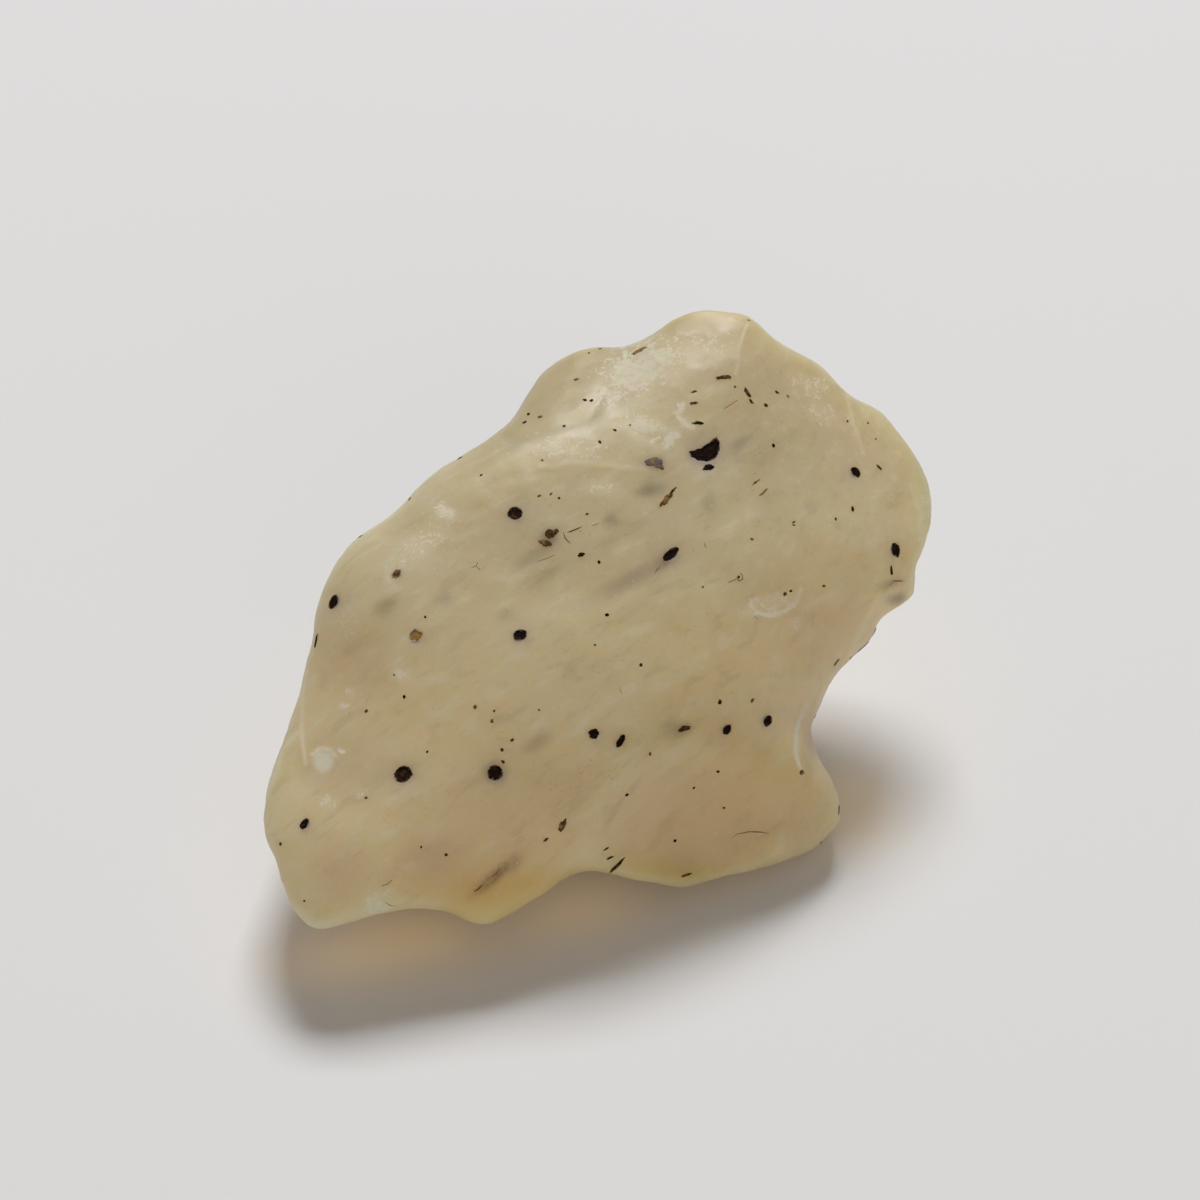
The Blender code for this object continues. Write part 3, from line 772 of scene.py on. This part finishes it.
# Materials
def glass_material():
    """Milky yellow silica glass, sand-blasted by wind to a satin skin.

    Light goes in and spreads, so edges glow and shadows in it are soft. The skin's fine pitting breaks up
    the gloss, so it shows broad soft sheens and no sharp reflections.
    """
    material, tree, surface = new_material("desert_glass_wind_worn")
    place = add_node(tree, "ShaderNodeTexCoord").outputs["Object"]

    def grain(size, detail=3.0, rough=0.5, where=place):
        """Noise with patches of the given size in millimetres."""
        links = {"Vector": where, "Scale": 1.0 / (size * MM), "Detail": detail, "Roughness": rough}
        return add_node(tree, "ShaderNodeTexNoise", links).outputs["Fac"]

    def layer(name):
        return add_node(tree, "ShaderNodeAttribute", attribute_name=name).outputs["Fac"]

    def over(under, top, share):
        node = add_node(tree, "ShaderNodeMix", data_type="RGBA", blend_type="MIX")
        for socket, value in ((node.inputs[0], share), (node.inputs[6], under), (node.inputs[7], top)):
            if isinstance(value, bpy.types.NodeSocket):
                tree.links.new(value, socket)
            else:
                socket.default_value = value
        return node.outputs[2]

    def sum_up(kind, one, other):
        node = add_node(tree, "ShaderNodeMath", operation=kind)
        for socket, value in zip(node.inputs, (one, other)):
            if isinstance(value, bpy.types.NodeSocket):
                tree.links.new(value, socket)
            else:
                socket.default_value = value
        return node.outputs[0]

    def spread(value, low, high, to_low=0.0, to_high=1.0):
        links = {"Value": value, "From Min": low, "From Max": high, "To Min": to_low, "To Max": to_high}
        node = add_node(tree, "ShaderNodeMapRange", links, interpolation_type="SMOOTHSTEP")
        return node.outputs["Result"]

    def drawn_out(length_way, stretch):
        """Coordinates in which patterns run out long one way, as flow lines in the glass do."""
        aside = OUT.cross(length_way)
        parts = []
        for way, scale in ((length_way, 1.0 / stretch), (aside, 1.0), (OUT, 1.0)):
            links = {0: place, 1: tuple(way * scale)}
            node = add_node(tree, "ShaderNodeVectorMath", links, operation="DOT_PRODUCT")
            parts.append(node.outputs["Value"])
        return add_node(tree, "ShaderNodeCombineXYZ", dict(zip("XYZ", parts))).outputs[0]

    flow_way = ACROSS * math.cos(math.radians(34)) + UP * math.sin(math.radians(34))
    flow = grain(0.9, 3.0, 0.55, drawn_out(flow_way, 3.2))
    threads = grain(0.30, 2.0, 0.5, drawn_out(flow_way, 6.0))
    cloudy = grain(6.0, 2.0)
    veil = grain(1.5, 4.0, 0.6)
    crumbs = grain(0.34, 3.0, 0.6)
    fine = grain(0.13, 2.0)

    # Milky body colour, clouded at 6 mm, mottled at 1.5 mm and drawn out in flow lines of 0.9 and 0.3 mm,
    # with fine grit in it:
    # painted shade makes it greyer and darker towards the crown, painted light makes it lighter and warmer
    # towards the floor
    height = add_node(tree, "ShaderNodeSeparateXYZ", {"Vector": place}).outputs["Z"]
    body = over(linear("#fce6c2"), linear("#f1deae"), spread(height, 2 * MM, 10 * MM))
    body = over(body, linear("#e2d5ae"), spread(height, 10 * MM, 17 * MM))
    body = over(body, linear("#f9edc9"), spread(cloudy, 0.40, 0.70, 0.0, 0.18))
    body = over(body, linear("#dbca9b"), spread(veil, 0.52, 0.72, 0.0, 0.35))
    body = over(body, linear("#f8efd2"), spread(flow, 0.52, 0.74, 0.0, 0.50))
    body = over(body, linear("#cdbd93"), spread(flow, 0.46, 0.28, 0.0, 0.35))
    body = over(body, linear("#fdf6e2"), spread(threads, 0.60, 0.78, 0.0, 0.26))
    body = over(body, linear("#bba878"), spread(threads, 0.38, 0.22, 0.0, 0.22))
    grit = sum_up("MULTIPLY", spread(fine, 0.64, 0.76), spread(veil, 0.45, 0.62))
    body = over(body, linear("#94794a"), sum_up("MULTIPLY", grit, 0.50))
    # Painted shade on the crown and on the shoulder that faces the overhead light
    body = over(body, linear("#c4b58c"), sum_up("MULTIPLY", layer("painted_shade"), 0.75))
    # Painted golden shade and glow towards the floor
    body = over(body, linear("#e6c87e"), sum_up("MULTIPLY", layer("painted_golden_shade"), 0.85))
    # Mauve tints, with painted shade on narrow facets and over the lower right
    body = over(body, linear("#bba389"), sum_up("MULTIPLY", layer("mauve_and_painted_shade"), 0.85))

    # Dirt just under the skin, a painted shadow beside the bean and broad painted shade, then frosted
    # bruises with painted highlights along rims, pale worn edges with painted highlights and broad painted
    # light, and dirt on the bubbles' walls
    for kind, colour, uneven in (
        ("smoke_and_painted_shadow", "#857a62", spread(veil, 0.30, 0.60, 0.7, 1.0)),
        ("stain_and_painted_shade", "#6f4f2c", spread(crumbs, 0.30, 0.60, 0.6, 1.0)),
        ("frost_and_painted_highlight", "#fbf1d4", spread(veil, 0.35, 0.60, 0.45, 0.80)),
        ("disc", "#fff4e2", spread(crumbs, 0.35, 0.60, 0.80, 1.0)),
    ):
        body = over(body, linear(colour), sum_up("MULTIPLY", layer(kind), uneven))
    patchy = sum_up("ADD", layer("frost_and_painted_highlight"), spread(crumbs, 0.34, 0.66, -0.66, 0.06))
    patchy = sum_up("ADD", patchy, spread(fine, 0.32, 0.68, -0.28, 0.24))
    frosted = spread(patchy, 0.14, 0.46)
    body = over(body, linear("#fff1da"), frosted)
    # Pale worn edges, with painted highlights along ridges and broad patches of painted light
    body = over(body, linear("#ffedcb"), sum_up("MULTIPLY", layer("wear"), 0.55))
    body = over(body, linear("#2e1a0b"), spread(layer("bowl"), 0.75, 1.0))
    tree.links.new(body, surface.inputs["Base Color"])

    # Satin gloss, duller where frosted
    gloss = sum_up("ADD", spread(veil, 0.3, 0.7, 0.40, 0.50), sum_up("MULTIPLY", frosted, 0.2))
    tree.links.new(gloss, surface.inputs["Roughness"])

    # Wind pitting 0.55 mm wide, with finer grain in it
    cells = {"Vector": place, "Scale": 1.0 / (0.55 * MM)}
    pits = add_node(tree, "ShaderNodeTexVoronoi", cells).outputs["Distance"]
    pitted = sum_up("ADD", sum_up("MULTIPLY", pits, 0.5), sum_up("MULTIPLY", fine, 0.25))
    pitted = sum_up("ADD", pitted, sum_up("MULTIPLY", crumbs, 0.5))
    bump = add_node(tree, "ShaderNodeBump", {"Height": pitted, "Strength": 0.35, "Distance": 0.05 * MM})
    tree.links.new(bump.outputs["Normal"], surface.inputs["Normal"])

    # Light spreads up to 6 mm in the milky glass, red farthest, and what passes clear through turns yellow
    surface.inputs["Subsurface Weight"].default_value = 1.0
    surface.inputs["Subsurface Radius"].default_value = (1.0, 0.66, 0.34)
    surface.inputs["Subsurface Scale"].default_value = 6.0 * MM
    surface.inputs["IOR"].default_value = 1.46
    surface.inputs["Transmission Weight"].default_value = 0.30
    deep_yellow = {"Color": (0.81, 0.68, 0.24, 1.0), "Density": 100.0}
    absorb = add_node(tree, "ShaderNodeVolumeAbsorption", deep_yellow)
    tree.links.new(absorb.outputs["Volume"], tree.nodes["Material Output"].inputs["Volume"])
    return material


def silt_material():
    """Desert silt packed hard: dull, nearly black where thick and rusty brown or amber where thin."""
    material, tree, surface = new_material("packed_desert_silt")
    tone = add_node(tree, "ShaderNodeAttribute", attribute_name="tone").outputs["Fac"]
    place = add_node(tree, "ShaderNodeTexCoord").outputs["Object"]
    noisy = {"Vector": place, "Scale": 1.0 / (0.2 * MM), "Detail": 3.0}
    crumbs = add_node(tree, "ShaderNodeTexNoise", noisy).outputs["Fac"]
    uneven = add_node(tree, "ShaderNodeMath", {0: crumbs, 1: 1.1, 2: -0.52}, operation="MULTIPLY_ADD")
    mixed = add_node(tree, "ShaderNodeMath", {0: tone, 1: uneven.outputs[0]}, operation="ADD")
    ramp = add_node(tree, "ShaderNodeValToRGB", {"Fac": mixed.outputs[0]})
    stops = [
        (0.0, "#0f0703"),
        (0.25, "#291408"),
        (0.5, "#5a3d22"),
        (0.68, "#8a6c42"),
        (0.82, "#a9803c"),
        (1.0, "#6f6762"),
    ]
    elements = ramp.color_ramp.elements
    elements[0].position, elements[0].color = stops[0][0], linear(stops[0][1])
    elements[1].position, elements[1].color = stops[-1][0], linear(stops[-1][1])
    for position, colour in stops[1:-1]:
        elements.new(position).color = linear(colour)
    tree.links.new(ramp.outputs["Color"], surface.inputs["Base Color"])
    bump = add_node(tree, "ShaderNodeBump", {"Height": crumbs, "Strength": 0.5, "Distance": 0.04 * MM})
    tree.links.new(bump.outputs["Normal"], surface.inputs["Normal"])
    surface.inputs["Roughness"].default_value = 0.7
    surface.inputs["Specular IOR Level"].default_value = 0.08
    return material


stone = copy_of_node("desert_glass", "glass_nodule")
refine(stone)
ease(stone)
split_faces(stone)
relief(stone)
skin = skin_tree(stone)
frames = bubble_frames()
cut_bubbles(stone, frames)
paint(stone, frames)
activate(stone)
bpy.ops.object.shade_smooth_by_angle(angle=math.radians(50))
stone.data.materials.append(glass_material())
silt = silt_and_flecks(frames)
silt.data.materials.clear()
silt.data.materials.append(silt_material())
silt.data.shade_smooth()
for piece in (stone, silt):
    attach(piece, "root")
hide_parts("desert_glass")


# Floor, light and camera
def floor():
    """Matt white paper, which lets the stone's shadow and warm glow show."""
    deselect()
    bpy.ops.mesh.primitive_plane_add(size=4.0, location=(0, 0, 0))
    made = bpy.context.object
    made.name = "floor"
    material, tree, surface = new_material("matt_white_paper")
    surface.inputs["Base Color"].default_value = linear("#e7e5e4")
    surface.inputs["Roughness"].default_value = 0.8
    made.data.materials.append(material)


def softbox(name, toward, distance, size, power, tint):
    """A square softbox, seen from the stone in the given direction."""
    light = bpy.data.lights.new(name, "AREA")
    light.shape = "SQUARE"
    light.size = size
    light.energy = power
    light.color = linear(tint)[:3]
    made = bpy.data.objects.new(name, light)
    bpy.context.collection.objects.link(made)
    way = Vector(toward).normalized()
    made.location = way * distance
    made.rotation_euler = way.to_track_quat("Z", "Y").to_euler()


def amber_pool(name, place, size, turn, energy):
    """Warm light that the glass passes down to the floor beside its foot, where its own shadow is deep."""
    light = bpy.data.lights.new(name, "AREA")
    light.shape = "ELLIPSE"
    light.size = size[0] * MM
    light.size_y = size[1] * MM
    light.energy = energy
    light.color = (1.0, 0.60, 0.12)
    made = bpy.data.objects.new(name, light)
    bpy.context.collection.objects.link(made)
    made.location = Vector(place) * MM
    made.rotation_euler = (0.0, 0.0, math.radians(turn))
    made.visible_camera = False
    made.visible_glossy = False
    made.visible_transmission = False


def room_light():
    world = bpy.data.worlds.new("soft room")
    world.use_nodes = True
    sky = world.node_tree.nodes["Background"]
    sky.inputs["Color"].default_value = linear("#fffcf6")
    sky.inputs["Strength"].default_value = 0.235
    bpy.context.scene.world = world
    softbox("overhead", (0.02, 0.67, 1.0), 1.60, 0.60, 19.6, "#fafcff")
    softbox("front_fill", (0.25, -1.0, 0.30), 1.20, 0.90, 2.2, "#fffaf2")
    amber_pool("pool_front", (-4.8, -9.9, 2.0), (27.0, 3.2), 17, 0.000048)
    amber_pool("pool_right", (12.6, -2.2, 2.0), (5.0, 7.0), 20, 0.000016)


def camera():
    lens = bpy.data.cameras.new("camera")
    lens.lens = 100.0
    lens.sensor_width = 36.0
    lens.clip_start = 0.01
    lens.clip_end = 20.0
    made = bpy.data.objects.new("camera", lens)
    bpy.context.collection.objects.link(made)
    made.location = SIGHT
    made.rotation_euler = OUT.to_track_quat("Z", "Y").to_euler()
    bpy.context.scene.camera = made


floor()
room_light()
camera()
bpy.context.scene.view_settings.view_transform = "Standard"
